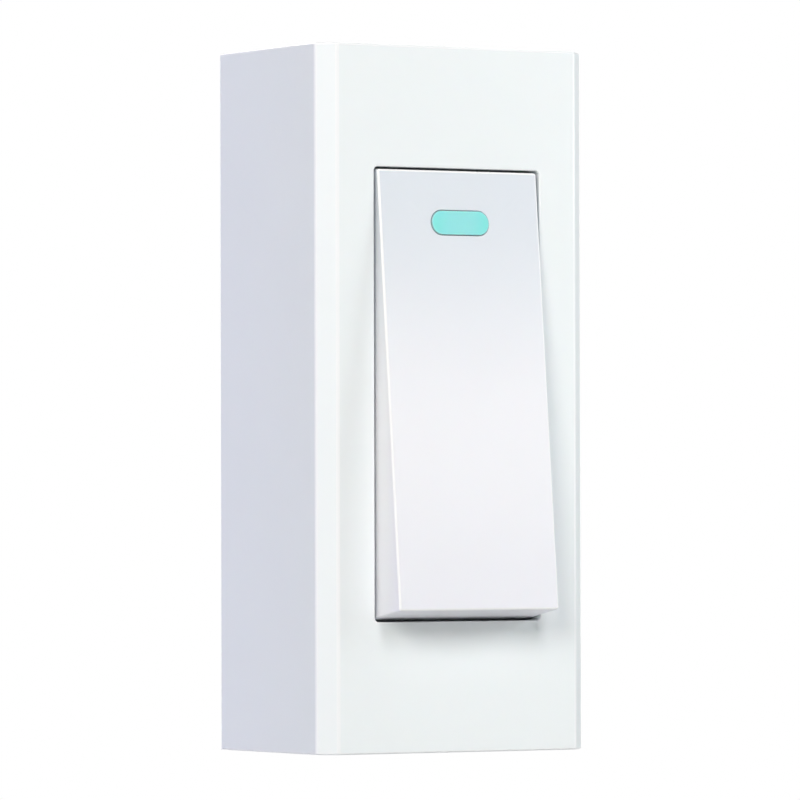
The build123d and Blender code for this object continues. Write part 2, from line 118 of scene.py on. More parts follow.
class Recipe:
    """Lays out the nodes of one material and joins them."""

    def __init__(self, name: str) -> None:
        """Start an empty material.

        Args:
            name: Name of the material.
        """
        self.material = bpy.data.materials.new(name)
        self.material.use_nodes = True
        self.tree = self.material.node_tree
        self.tree.nodes.clear()
        self.output = self.tree.nodes.new("ShaderNodeOutputMaterial")
        self.shader = self.tree.nodes.new("ShaderNodeBsdfPrincipled")
        self.tree.links.new(self.shader.outputs["BSDF"], self.output.inputs["Surface"])
        self.place = self.tree.nodes.new("ShaderNodeTexCoord").outputs["Object"]

    def constant(self, **values: float | Colour) -> None:
        """Set plain values on the shader's own sockets.

        Args:
            values: Socket names in small letters with underscores, and their values.
        """
        self.fill([self.shader.inputs[SOCKETS[key]] for key in values], tuple(values.values()))

    def fill(self, sockets: Sequence[Socket], sources: Sequence[object]) -> None:
        """Put other sockets or plain values into the inputs of a node.

        Args:
            sockets: The inputs.
            sources: What goes into each of them. None is skipped.
        """
        for socket, source in zip(sockets, sources):
            if isinstance(source, Socket):
                self.tree.links.new(source, socket)
            elif source is not None:
                plain = socket.type == "RGBA" and len(source) == 3
                socket.default_value = (*source, 1.0) if plain else source

    def feed(self, source: Socket, target: str) -> None:
        """Join a value to a socket of the shader."""
        self.tree.links.new(source, self.shader.inputs[target])

    def node(self, kind: str, *sources: object, **settings: object) -> bpy.types.Node:
        """Add a node.

        Args:
            kind: Type of the node.
            sources: What goes into its inputs in order, as sockets or values. None is skipped.
            settings: Properties of the node.

        Returns:
            The new node.
        """
        made = self.tree.nodes.new(kind)
        for key, value in settings.items():
            setattr(made, key, value)
        self.fill(made.inputs, sources)
        return made

    def math(self, operation: str, *sources: object) -> Socket:
        """Result of one sum on numbers."""
        return self.node("ShaderNodeMath", *sources, operation=operation).outputs[0]

    def apart(self, point: Point) -> Socket:
        """Distance of the surface from a point of the piece's own space."""
        return self.node("ShaderNodeVectorMath", self.place, point, operation="DISTANCE").outputs["Value"]

    def noise(self, scale: float, detail: float = 3.0, stretch: Point = (1, 1, 1)) -> Socket:
        """Add smooth noise in the piece's own space.

        Args:
            scale: Waves in each metre.
            detail: Number of finer layers.
            stretch: How much closer the waves lie along each axis.

        Returns:
            The noise's level, from 0 to 1.
        """
        mapped = self.node("ShaderNodeMapping", self.place)
        mapped.inputs["Scale"].default_value = stretch
        made = self.node("ShaderNodeTexNoise", mapped.outputs[0])
        made.inputs["Scale"].default_value = scale
        made.inputs["Detail"].default_value = detail
        return made.outputs[0]

    def span(self, source: object, low: float, high: float, to_low: float, to_high: float) -> Socket:
        """Carry a number from one range to another, smoothly and within its ends.

        Args:
            source: The number.
            low: Start of its range.
            high: End of its range.
            to_low: Result at the start.
            to_high: Result at the end.

        Returns:
            The new number.
        """
        ends = (low, high, to_low, to_high)
        return self.node("ShaderNodeMapRange", source, *ends, interpolation_type="SMOOTHSTEP").outputs[0]

    def mixed(self, share: object, first: object, second: object) -> Socket:
        """Mix two colours.

        Args:
            share: Share of the second colour.
            first: Colour or socket at share 0.
            second: Colour or socket at share 1.

        Returns:
            The mixed colour.
        """
        made = self.node("ShaderNodeMix", data_type="RGBA")
        self.fill([s for s in made.inputs if s.enabled], (share, first, second))
        return next(s for s in made.outputs if s.enabled)

    def relief(self, height: object, depth: float, strength: float) -> None:
        """Raise the surface by a height.

        Args:
            height: Level from 0 to 1.
            depth: Depth of the relief in metres.
            strength: Share of it that shows.
        """
        bump = self.node("ShaderNodeBump")
        bump.inputs["Strength"].default_value = strength
        bump.inputs["Distance"].default_value = depth
        self.tree.links.new(height, bump.inputs["Height"])
        self.feed(bump.outputs[0], "Normal")


@dataclass(frozen=True)
class Plastic:
    """Moulded plastic with a fine eroded grain and a faint cloudiness."""

    name: str
    colour: Colour
    cloud: Colour
    roughness: float = 0.38
    roughness_play: float = 0.05
    cloud_scale: float = 55.0
    sheen_scale: float = 240.0
    grain: float = 5200.0
    grain_depth: float = 4e-6
    grain_strength: float = 0.25
    depth_glow: float = 0.03
    glow_reach: float = 0.0004

    def clouded(self, made: Recipe) -> Socket:
        """Colour of the plastic with its cloudiness."""
        cloud = made.span(made.noise(self.cloud_scale, detail=2.0), *BROAD, 0.0, 1.0)
        return made.mixed(cloud, self.colour, self.cloud)

    def sheen(self, made: Recipe) -> Socket:
        """Roughness of the plastic, which plays a little over the surface."""
        ends = (self.roughness - self.roughness_play, self.roughness + self.roughness_play)
        return made.span(made.noise(self.sheen_scale, detail=4.0), *EVEN, *ends)

    def closed(self, made: Recipe) -> Material:
        """Material with what is the same all over it."""
        made.constant(ior=1.5, subsurface=self.depth_glow, subsurface_scale=self.glow_reach)
        return made.material

    def material(self) -> Material:
        """Lay out the nodes of the finish.

        Returns:
            The material.
        """
        made = Recipe(self.name)
        made.feed(self.clouded(made), "Base Color")
        made.feed(self.sheen(made), "Roughness")
        made.relief(made.noise(self.grain, detail=2.0), self.grain_depth, self.grain_strength)
        return self.closed(made)


@dataclass(frozen=True)
class MarkedPlastic(Plastic):
    """Moulded plastic with the round marks that the mould's ejector pins leave."""

    marks: tuple[Point, ...] = ()
    mark_radius: float = 0.0021
    mark_edge: float = 0.00012
    mark_depth: float = 0.00012
    mark_shade: float = 0.96

    def material(self) -> Material:
        """Lay out the nodes of the finish, with a shallow dish at each mark.

        Returns:
            The material.
        """
        made = Recipe(self.name)
        dish: object = 0.0
        for mark in self.marks:
            one = made.span(made.apart(mark), self.mark_radius - self.mark_edge, self.mark_radius, 1.0, 0.0)
            dish = made.math("MAXIMUM", one, dish)
        shade = tuple(self.mark_shade * part for part in self.colour)
        made.feed(made.mixed(dish, self.clouded(made), shade), "Base Color")
        made.feed(self.sheen(made), "Roughness")
        share = self.grain_depth * self.grain_strength / self.mark_depth
        grain = made.math("MULTIPLY", made.noise(self.grain, detail=2.0), share)
        made.relief(made.math("SUBTRACT", grain, dish), self.mark_depth, 1.0)
        return self.closed(made)


@dataclass(frozen=True)
class HandledPlasticWithPaintedShade(Plastic):
    """Moulded plastic that fingers have polished in one place, with painted shade that darkens it towards its
    top and a little towards its bottom.
    """

    cloud_scale: float = 60.0
    sheen_scale: float = 260.0
    # Painted shade: the colours the plastic darkens to towards its top and towards its bottom, and the
    # heights over which it does.
    top_painted_shade: Colour = (0.77, 0.81, 0.86)
    low_painted_shade: Colour = (0.89, 0.89, 0.94)
    top_shade_reach: Spot = (-0.004, 0.026)
    low_shade_reach: Spot = (-0.006, -0.027)
    touch_centre: Point = (0.0, -0.029, -0.018)
    touch_reach: float = 0.022
    polish: float = 0.03

    def material(self) -> Material:
        """Lay out the nodes of the finish, with painted shade towards the top and bottom, smoother round the
        place that is touched.

        Returns:
            The material.
        """
        made = Recipe(self.name)
        rise = made.node("ShaderNodeSeparateXYZ", made.place).outputs[2]
        colour = self.clouded(made)
        # Painted shade: darker towards the top, and a little darker towards the bottom.
        colour = made.mixed(made.span(rise, *self.top_shade_reach, 0.0, 1.0), colour, self.top_painted_shade)
        colour = made.mixed(made.span(rise, *self.low_shade_reach, 0.0, 1.0), colour, self.low_painted_shade)
        made.feed(colour, "Base Color")
        worn = made.span(made.apart(self.touch_centre), 0.0, self.touch_reach, self.polish, 0.0)
        made.feed(made.math("SUBTRACT", self.sheen(made), worn), "Roughness")
        made.relief(made.noise(self.grain, detail=2.0), self.grain_depth, self.grain_strength)
        return self.closed(made)


@dataclass(frozen=True)
class LensPlastic:
    """Clear tinted plastic of a stadium lens, with a painted shade ring at its rim and a painted highlight
    band just inside it, and livelier at its ends.
    """

    name: str
    middle: Colour
    ends: Colour
    # rim is a painted shade ring along the outline, and the colour after it a painted highlight band just
    # inside that ring.
    rim: Colour
    painted_edge_highlight: Colour
    centre: Point
    tilt: float
    half_run: float
    radius: float
    rim_width: float = 0.00012
    light_width: float = 0.00016
    ends_from: float = 0.3
    rim_core: float = 0.4
    roughness: Spot = (0.16, 0.24)
    sheen_scale: float = 400.0
    grain: float = 900.0
    grain_depth: float = 4e-6
    grain_strength: float = 0.2

    def material(self) -> Material:
        """Lay out the nodes of the finish, which follow the distance from the lens's outline.

        Returns:
            The material.
        """
        made = Recipe(self.name)
        turned = made.node("ShaderNodeMapping", made.place, vector_type="TEXTURE")
        turned.inputs["Location"].default_value = self.centre
        turned.inputs["Rotation"].default_value = (self.tilt, 0.0, 0.0)
        parts = made.node("ShaderNodeSeparateXYZ", turned.outputs[0]).outputs
        along = made.math("ABSOLUTE", parts[0])
        past = made.math("MAXIMUM", made.math("SUBTRACT", along, self.half_run), 0.0)
        squares = [made.math("MULTIPLY", way, way) for way in (past, parts[2])]
        inside = made.math("SUBTRACT", self.radius, made.math("SQRT", made.math("ADD", *squares)))
        end_share = made.span(along, self.ends_from * self.half_run, self.half_run + self.radius, 0.0, 1.0)
        body = made.mixed(end_share, self.middle, self.ends)
        # Painted highlight: a lighter band just inside the rim.
        light = made.span(inside, self.rim_width, self.rim_width + self.light_width, 1.0, 0.0)
        lit = made.mixed(light, body, self.painted_edge_highlight)
        # Painted shade: a dark ring along the lens's outline.
        rim = made.span(inside, self.rim_core * self.rim_width, self.rim_width, 1.0, 0.0)
        made.feed(made.mixed(rim, lit, self.rim), "Base Color")
        made.feed(made.span(made.noise(self.sheen_scale), *EVEN, *self.roughness), "Roughness")
        made.relief(made.noise(self.grain, detail=2.0), self.grain_depth, self.grain_strength)
        made.constant(ior=1.49, subsurface=0.25, subsurface_scale=0.002, coat=0.3, coat_roughness=0.12)
        return made.material


@dataclass(frozen=True)
class RolledMetal:
    """Sheet or wire metal with rolling streaks and a faint tarnish."""

    name: str
    colour: Colour
    tarnish: Colour
    roughness: float = 0.28
    play: float = 0.06
    streak: Point = (1.0, 1.0, 0.08)
    streak_scale: float = 4200.0
    tarnish_scale: float = 260.0
    tarnish_levels: Spot = (0.4, 0.75)
    tarnish_share: float = 0.6
    tarnish_dulls: float = 0.12
    streak_depth: float = 6e-6
    streak_strength: float = 0.3

    def material(self) -> Material:
        """Lay out the nodes of the finish.

        Returns:
            The material.
        """
        made = Recipe(self.name)
        spots = made.noise(self.tarnish_scale, detail=5.0)
        patches = made.span(spots, *self.tarnish_levels, 0.0, self.tarnish_share)
        streaks = made.noise(self.streak_scale, detail=2.0, stretch=self.streak)
        made.feed(made.mixed(patches, self.colour, self.tarnish), "Base Color")
        sheen = made.span(streaks, *EVEN, self.roughness - self.play, self.roughness + self.play)
        dull = made.math("MULTIPLY", patches, self.tarnish_dulls)
        made.feed(made.math("ADD", sheen, dull), "Roughness")
        made.relief(streaks, self.streak_depth, self.streak_strength)
        made.constant(metallic=1.0)
        return made.material


def put(name: str, data: bpy.types.ID) -> bpy.types.Object:
    """Put a new object in the scene.

    Args:
        name: Its name.
        data: Its mesh, lamp or camera.

    Returns:
        The object.
    """
    thing = bpy.data.objects.new(name, data)
    bpy.context.scene.collection.objects.link(thing)
    return thing


def lies_at(edge: Edge, depth: float) -> bool:
    """Tell if an edge lies at one depth in front of the wall."""
    return all(abs(v.co.y + depth) < NEAR for v in edge.verts)


def within(edge: Edge, size: Spot, rise: float, margin: float) -> bool:
    """Tell if an edge lies inside an upright rectangle on the middle line.

    Args:
        edge: The edge.
        size: Width and height of the rectangle.
        rise: Height of its middle.
        margin: How far past the rectangle the edge may lie.

    Returns:
        True if both ends lie inside.
    """
    half_x, half_z = (part / 2 + margin for part in size)
    return all(abs(v.co.x) < half_x and abs(v.co.z - rise) < half_z for v in edge.verts)


def notch_planes(half: float, depth: float) -> list[tuple[Point, Point]]:
    """Planes that bound a notch: its two sides and its floor.

    Args:
        half: Half of the notch's width.
        depth: Depth of its floor in front of the wall.

    Returns:
        A place on each plane and the way that it faces.
    """
    sides = [((x, 0.0, 0.0), (1.0, 0.0, 0.0)) for x in (-half, half)]
    return [*sides, ((0.0, -depth, 0.0), (0.0, 1.0, 0.0))]


def quarter_round(reach: float, rise: float, radius: float, steps: int) -> list[Spot]:
    """Round the front corner of a turned profile.

    Args:
        reach: Radius of the profile beside the corner.
        rise: Height of the profile in front.
        radius: Radius of the round.
        steps: Runs in the round.

    Returns:
        Radius and height of its points, from the side to the front.
    """
    turns = [math.pi / 2 * (1 - step / steps) for step in range(steps + 1)]
    return [(reach - radius * (1 - math.sin(a)), rise - radius * (1 - math.cos(a))) for a in turns]


class Axis(Enum):
    """Ways that a cylinder can lie."""

    ACROSS = Matrix.Rotation(math.pi / 2, 4, "Y")
    TO_FRONT = Matrix.Rotation(-math.pi / 2, 4, "X")


@dataclass
class Workpiece:
    """A mesh being shaped in millimetres, which ends as one object of the frame."""

    name: str
    mesh: bmesh.types.BMesh = field(default_factory=bmesh.new)

    def block(self, low: Point, high: Point) -> list[Vert]:
        """Add a plain block.

        Args:
            low: Its lowest corner.
            high: Its highest corner.

        Returns:
            Its corners.
        """
        centre = (Vector(low) + Vector(high)) / 2
        size = Vector(high) - Vector(low)
        place = Matrix.Translation(centre) @ Matrix.Diagonal((*size, 1.0))
        return bmesh.ops.create_cube(self.mesh, size=1.0, matrix=place)["verts"]

    def post(self, centre: Point, radius: float, length: float, axis: Axis, steps: int) -> None:
        """Add a closed cylinder.

        Args:
            centre: Middle of the cylinder.
            radius: Its radius.
            length: Its length.
            axis: Way that it lies.
            steps: Sides of its circle.
        """
        bmesh.ops.create_cone(
            self.mesh,
            cap_ends=True,
            segments=steps,
            radius1=radius,
            radius2=radius,
            depth=length,
            matrix=Matrix.Translation(centre) @ axis.value,
        )

    def bevelled(
        self,
        items: Sequence[Edge | Vert],
        width: float,
        steps: int,
        affect: str = "EDGES",
        clamp: bool = True,
    ) -> list[Face]:
        """Bevel some edges or corners.

        Args:
            items: The edges or corners.
            width: Width of the bevel.
            steps: Runs across it.
            affect: EDGES or VERTICES.
            clamp: Whether the bevel stops where it would meet another.

        Returns:
            The faces of the bevel.
        """
        return bmesh.ops.bevel(
            self.mesh,
            geom=items,
            offset=width,
            offset_type="OFFSET",
            segments=steps,
            profile=0.5,
            affect=affect,
            clamp_overlap=clamp,
            material=-1,
        )["faces"]

    def ring(self, width: float, height: float, corner: float, steps: int, centre: Point) -> list[Edge]:
        """Add the outline of a rounded rectangle that faces the front.

        Args:
            width: Size along X.
            height: Size along Z.
            corner: Radius of its corners.
            steps: Runs in each corner.
            centre: Its middle.

        Returns:
            The edges of the outline.
        """
        known = set(self.mesh.verts)
        upright = Matrix.Translation(centre) @ Matrix.Rotation(math.pi / 2, 4, "X")
        place = upright @ Matrix.Diagonal((width, height, 1.0, 1.0))
        grid = bmesh.ops.create_grid(self.mesh, x_segments=1, y_segments=1, size=0.5, matrix=place)
        self.bevelled(grid["verts"], corner, steps, affect="VERTICES")
        made = [v for v in self.mesh.verts if v not in known]
        faces = {f for v in made for f in v.link_faces}
        bmesh.ops.delete(self.mesh, geom=list(faces), context="FACES_ONLY")
        bmesh.ops.remove_doubles(self.mesh, verts=made, dist=10 * WELD)
        return [e for e in self.mesh.edges if all(v not in known for v in e.verts)]

    def turned(self, profile: Sequence[Spot], steps: int = 40) -> list[Vert]:
        """Add a closed body turned about the axis that points to the front.

        Args:
            profile: Radius and height of each point, from one end of the axis to the other.
            steps: Runs in the full turn.

        Returns:
            Its corners.
        """
        known = set(self.mesh.verts)
        line = [self.mesh.verts.new((radius, -height, 0.0)) for radius, height in profile]
        edges = [self.mesh.edges.new(pair) for pair in zip(line, line[1:])]
        bmesh.ops.spin(
            self.mesh,
            geom=[*line, *edges],
            cent=ORIGIN,
            axis=FRONT,
            angle=2 * math.pi,
            steps=steps,
            use_merge=True,
        )
        made = [v for v in self.mesh.verts if v not in known]
        bmesh.ops.remove_doubles(self.mesh, verts=made, dist=WELD)
        return [v for v in self.mesh.verts if v not in known]

    def coil(
        self, base: float, radius: float, wire: float, rise: float, turns: float, steps: int, sides: int
    ) -> None:
        """Add a closed helix about the axis that points to the front.

        Args:
            base: Height at which the helix starts.
            radius: Radius of the helix.
            wire: Radius of its wire.
            rise: Length along the axis.
            turns: Number of turns.
            steps: Runs in a turn.
            sides: Sides of the wire.
        """
        place = Matrix.Translation((radius, -base, 0.0))
        made = bmesh.ops.create_circle(self.mesh, cap_ends=True, segments=sides, radius=wire, matrix=place)
        circle = made["verts"]
        faces = {f for v in circle for f in v.link_faces}
        edges = {e for v in circle for e in v.link_edges}
        count = round(turns * steps)
        bmesh.ops.spin(
            self.mesh,
            geom=[*circle, *edges, *faces],
            cent=(0.0, -base, 0.0),
            axis=FRONT,
            dvec=(0.0, -rise / count, 0.0),
            angle=2 * math.pi * turns,
            steps=count,
            use_merge=False,
        )
        bmesh.ops.holes_fill(self.mesh, edges=[e for e in self.mesh.edges if e.is_boundary])

    def take(self, source: bpy.types.Object) -> None:
        """Take a copy of a node's shape, with its doubles merged and its flat faces joined.

        Args:
            source: The node.
        """
        self.mesh.from_mesh(source.data)
        bmesh.ops.scale(self.mesh, vec=(1 / MM,) * 3, verts=self.mesh.verts[:])
        bmesh.ops.remove_doubles(self.mesh, verts=self.mesh.verts[:], dist=4 * WELD)
        bmesh.ops.dissolve_limit(
            self.mesh,
            angle_limit=math.radians(0.5),
            verts=self.mesh.verts[:],
            edges=self.mesh.edges[:],
            delimit={"NORMAL"},
        )

    def join(self, other: "Workpiece") -> None:
        """Add the mesh of another workpiece, which ends with that.

        Args:
            other: The other workpiece.
        """
        made = bpy.data.meshes.new(other.name)
        other.mesh.to_mesh(made)
        other.mesh.free()
        self.mesh.from_mesh(made)
        bpy.data.meshes.remove(made)

    def cut(self, faces: Sequence[Face], point: Point, normal: Point) -> None:
        """Cut some faces along a plane.

        Args:
            faces: The faces.
            point: Any place on the plane.
            normal: Way that the plane faces.
        """
        edges = dict.fromkeys(e for f in faces for e in f.edges)
        corners = dict.fromkeys(v for f in faces for v in f.verts)
        geometry = [*faces, *edges, *corners]
        bmesh.ops.bisect_plane(self.mesh, geom=geometry, dist=WELD, plane_co=point, plane_no=normal)

    def free_edges(self, test: Callable[[Vector], bool]) -> list[Edge]:
        """Edges with fewer than two faces whose ends pass a test."""
        return [e for e in self.mesh.edges if len(e.link_faces) < 2 and all(test(v.co) for v in e.verts)]

    def open_faces(self, test: Callable[[Face], bool]) -> None:
        """Take away the faces that pass a test."""
        self.mesh.normal_update()
        bmesh.ops.delete(self.mesh, geom=[f for f in self.mesh.faces if test(f)], context="FACES_ONLY")

    def panel(self, outer: Sequence[Edge], inner: Sequence[Edge]) -> None:
        """Fill the flat space between two outlines."""
        bmesh.ops.triangle_fill(self.mesh, edges=[*outer, *inner], normal=FRONT, use_beauty=True)

    def rim(self, depth: float) -> list[Edge]:
        """Open edges that lie at one depth in front of the wall."""
        return [e for e in self.mesh.edges if e.is_boundary and lies_at(e, depth)]

    def soften(
        self,
        test: Callable[[Edge], bool],
        width: float,
        steps: int,
        least: float = 0.35,
        tint: int = 0,
    ) -> None:
        """Round the sharp edges that pass a test.

        Args:
            test: Tells if an edge counts.
            width: Radius of the rounding.
            steps: Runs in the rounding.
            least: Smallest angle of an edge that is rounded.
            tint: Which of the piece's finishes the rounding takes; 1 gives the edge finish, a painted
                highlight where one is given.
        """
        sharp = [e for e in self.mesh.edges if len(e.link_faces) == 2 and e.calc_face_angle(0.0) > least]
        for face in self.bevelled([e for e in sharp if test(e)], width, steps, clamp=False):
            face.material_index = tint

    def walled(self, thickness: float) -> None:
        """Give an open skin an even wall towards its inside.

        Args:
            thickness: Thickness of the wall.
        """
        bmesh.ops.recalc_face_normals(self.mesh, faces=self.mesh.faces[:])
        skin = bpy.data.meshes.new(self.name + "_skin")
        self.mesh.to_mesh(skin)
        holder = put(self.name + "_skin", skin)
        solid = holder.modifiers.new("wall", "SOLIDIFY")
        solid.thickness = thickness
        solid.offset = -1.0
        solid.use_even_offset = True
        solid.use_quality_normals = True
        shaped = holder.evaluated_get(bpy.context.evaluated_depsgraph_get())
        walled = bpy.data.meshes.new_from_object(shaped)
        self.mesh.clear()
        self.mesh.from_mesh(walled)
        bpy.data.objects.remove(holder)
        bpy.data.meshes.remove(skin)
        bpy.data.meshes.remove(walled)

    def finish(
        self,
        body: Body,
        finish: Material,
        slot: str,
        *nodes: str,
        pose: Matrix | None = None,
        crease: float = 35.0,
        edge: Material | None = None,
    ) -> bpy.types.Object:
        """Turn the mesh into a piece of the switch.

        Args:
            body: Body that the piece rides on.
            finish: Its material.
            slot: Material slot of the record; not used.
            nodes: Nodes of the frame that it stands for.
            pose: Where its own frame stands, in millimetres.
            crease: Edges sharper than this many degrees stay sharp.
            edge: Finish of the roundings that were given a tint, which the cover and rocker use for a whiter
                painted highlight.

        Returns:
            The piece.
        """
        bmesh.ops.remove_doubles(self.mesh, verts=self.mesh.verts[:], dist=WELD)
        bmesh.ops.recalc_face_normals(self.mesh, faces=self.mesh.faces[:])
        place = Matrix.Scale(MM, 4) @ (pose or Matrix.Identity(4))
        bmesh.ops.transform(self.mesh, matrix=place, verts=self.mesh.verts[:])
        mesh = bpy.data.meshes.new(self.name)
        self.mesh.to_mesh(mesh)
        self.mesh.free()
        mesh.shade_smooth()
        mesh.set_sharp_from_angle(angle=math.radians(crease))
        mesh.materials.append(finish)
        if edge:
            mesh.materials.append(edge)
        piece = put(self.name, mesh)
        even = piece.modifiers.new("even_shading", "WEIGHTED_NORMAL")
        even.keep_sharp = True
        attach(piece, body.value)
        if nodes:
            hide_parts(*nodes)
        LOG.info("%s: %d faces on %s", self.name, len(mesh.polygons), body.value)
        return piece


@dataclass
class Layout:
    """Places that several sub-assemblies share, in millimetres and degrees."""

    window_rise: float = 0.55
    pivot_depth: float = 21.5
    rest_tilt: float = 5.35
    face_height: float = 6.02975
    rocker_length: float = 53.7
    arm_depth: float = 12.390734
    arm_tilt: float = 8.025
    plunger_tip: float = 8.589266
    strip_front: float = 11.174655
    cage_front: float = 13.274655
    contact_seat: float = 8.074655
    flange_front: float = 15.474655
    head_gap: float = 0.4
    post_screw: float = 9.0
    post_x: float = 14.1
    post_rise: float = 20.0
    cage_centre: float = 18.8
    side_x: float = 11.5
    side_rise: float = -8.4

    def rocker_pose(self) -> Matrix:
        """Frame of the rocker at rest, with its origin on the pins' axis."""
        place = Matrix.Translation((0.0, -self.pivot_depth, self.window_rise))
        return place @ Matrix.Rotation(math.radians(-self.rest_tilt), 4, "X")

    def arm_pose(self) -> Matrix:
        """Frame of the tipping arm at rest, with its origin on its axis."""
        place = Matrix.Translation((0.0, -self.arm_depth, self.window_rise))
        return place @ Matrix.Rotation(math.radians(self.arm_tilt), 4, "X")

    def terminal_spots(self) -> tuple[Spot, ...]:
        """Places of the three terminal screws, across and up."""
        spots = ((0.0, self.cage_centre), (0.0, -self.cage_centre), (self.side_x, self.side_rise))
        return tuple((x, z + self.window_rise) for x, z in spots)

    def post_spots(self) -> tuple[Spot, ...]:
        """Places of the four housing screws, across and up."""
        spots = ((x * self.post_x, z * self.post_rise) for x in (-1, 1) for z in (-1, 1))
        return tuple((x, z + self.window_rise) for x, z in spots)


@dataclass
class Cover:
    """The deep moulded cover with its bevelled edges and window."""

    layout: Layout
    width: float = 38.0
    height: float = 86.0
    depth: float = 25.0
    wall: float = 1.8
    bevel: float = 2.0
    edge_round: float = 0.26
    window_width: float = 23.7
    window_height: float = 55.2
    window_corner: float = 0.6
    window_round: float = 0.16
    corner_steps: int = 6
    release_width: float = 8.0
    release_depth: float = 1.2
    guide: float = 1.2
    guide_depth: float = 5.0
    guide_length: float = 44.0
    stiffener: float = 1.2
    stiffener_depth: float = 3.0
    stiffener_rise: float = 35.5
    catch_rise: float = 31.0
    catch_length: float = 7.0
    catch_reach: float = 0.8
    catch_depth: float = 2.4
    catch_size: float = 1.8
    catch_taper: float = 3.0
    sunk: float = 0.3

    def skin(self, part: Workpiece) -> None:
        """Shape the outer skin, open behind and at the window.

        Args:
            part: Mesh that takes the skin.
        """
        half_x, half_z = self.width / 2, self.height / 2
        part.block((-half_x, -self.depth, -half_z), (half_x, 0.0, half_z))
        front = [e for e in part.mesh.edges if lies_at(e, self.depth)]
        uprights = [e for e in front if abs(e.verts[0].co.x - e.verts[1].co.x) < NEAR]
        part.bevelled(uprights, self.bevel, steps=1)
        part.open_faces(lambda f: abs(f.normal.y) > FLAT)
        centre = (0.0, -self.depth, self.layout.window_rise)
        size = (self.window_width, self.window_height)
        inner = part.ring(*size, self.window_corner, self.corner_steps, centre)
        part.panel(part.rim(self.depth), inner)
        self.release_notch(part)

    def release_notch(self, part: Workpiece) -> None:
        """Open the notch in the lower wall where a driver lifts the cover off.

        Args:
            part: Mesh that has the lower wall.
        """
        part.mesh.normal_update()
        half = self.release_width / 2
        for point, normal in notch_planes(half, self.release_depth):
            part.cut([f for f in part.mesh.faces if f.normal.z < -FLAT], point, normal)
        part.open_faces(
            lambda f: f.normal.z < -FLAT
            and abs(f.calc_center_median().x) < half
            and f.calc_center_median().y > -self.release_depth
        )

    def on_skin(self, edge: Edge) -> bool:
        """Tell if an edge lies on the outer skin, apart from the rear rim and the notch.

        Args:
            edge: The edge.

        Returns:
            True if it does.
        """
        half_x, half_z = self.width / 2, self.height / 2
        ends = [v.co for v in edge.verts]
        off = [min(abs(abs(co.x) - half_x), abs(abs(co.z) - half_z), abs(co.y + self.depth)) for co in ends]
        return max(off) < NEAR and any(co.y < -self.release_depth - NEAR for co in ends)

    def in_window(self, edge: Edge) -> bool:
        """Tell if an edge lies on the front rim of the window."""
        size = (self.window_width, self.window_height)
        return lies_at(edge, self.depth) and within(edge, size, self.layout.window_rise, NEAR)

    def inner_features(self, part: Workpiece) -> None:
        """Add the guide ribs, stiffening bars and catches inside the wall.

        Args:
            part: Mesh that has the walled shell.
        """
        roof = -(self.depth - self.wall) - self.sunk
        half_inner = self.width / 2 - self.wall
        rise = self.layout.window_rise
        for side in (-1, 1):
            near, far = side * self.window_width / 2, side * (self.window_width / 2 + self.guide)
            half = self.guide_length / 2
            low = (min(near, far), roof, rise - half)
            part.block(low, (max(near, far), roof + self.guide_depth, rise + half))
            level = side * self.stiffener_rise
            low = (-half_inner - self.sunk, roof, level - self.stiffener / 2)
            part.block(low, (half_inner + self.sunk, roof + self.stiffener_depth, level + self.stiffener / 2))
            for height in (-self.catch_rise, self.catch_rise):
                self.catch(part, side, height)

    def catch(self, part: Workpiece, side: int, height: float) -> None:
        """Add one ramped catch.

        Args:
            part: Mesh that has the walled shell.
            side: 1 for the right wall and -1 for the left one.
            height: Height of the catch's middle.
        """
        wall = side * (self.width / 2 - self.wall + self.sunk)
        nib = side * (self.width / 2 - self.wall - self.catch_reach)
        half = self.catch_length / 2
        low = (min(wall, nib), -self.catch_depth - self.catch_size, height - half)
        corners = part.block(low, (max(wall, nib), -self.catch_depth, height + half))
        tip = [v for v in corners if abs(v.co.x - nib) < NEAR]
        middle = -self.catch_depth - self.catch_size / 2
        for corner in tip:
            corner.co.y = middle + (corner.co.y - middle) / self.catch_taper

    def build(self, finish: Material, edge: Material) -> None:
        """Model and dress the cover.

        Args:
            finish: Its material.
            edge: Finish of its edge roundings, whiter than the face as a painted highlight.
        """
        part = Workpiece("cover_shell")
        self.skin(part)
        part.walled(self.wall)
        # Roundings with tint=1 take the edge finish, a painted highlight.
        part.soften(self.in_window, self.window_round, steps=3, tint=1)
        part.soften(lambda e: self.on_skin(e) and not self.in_window(e), self.edge_round, steps=3, tint=1)
        self.inner_features(part)
        part.finish(Body.CASE, finish, "cover", "cover", edge=edge)


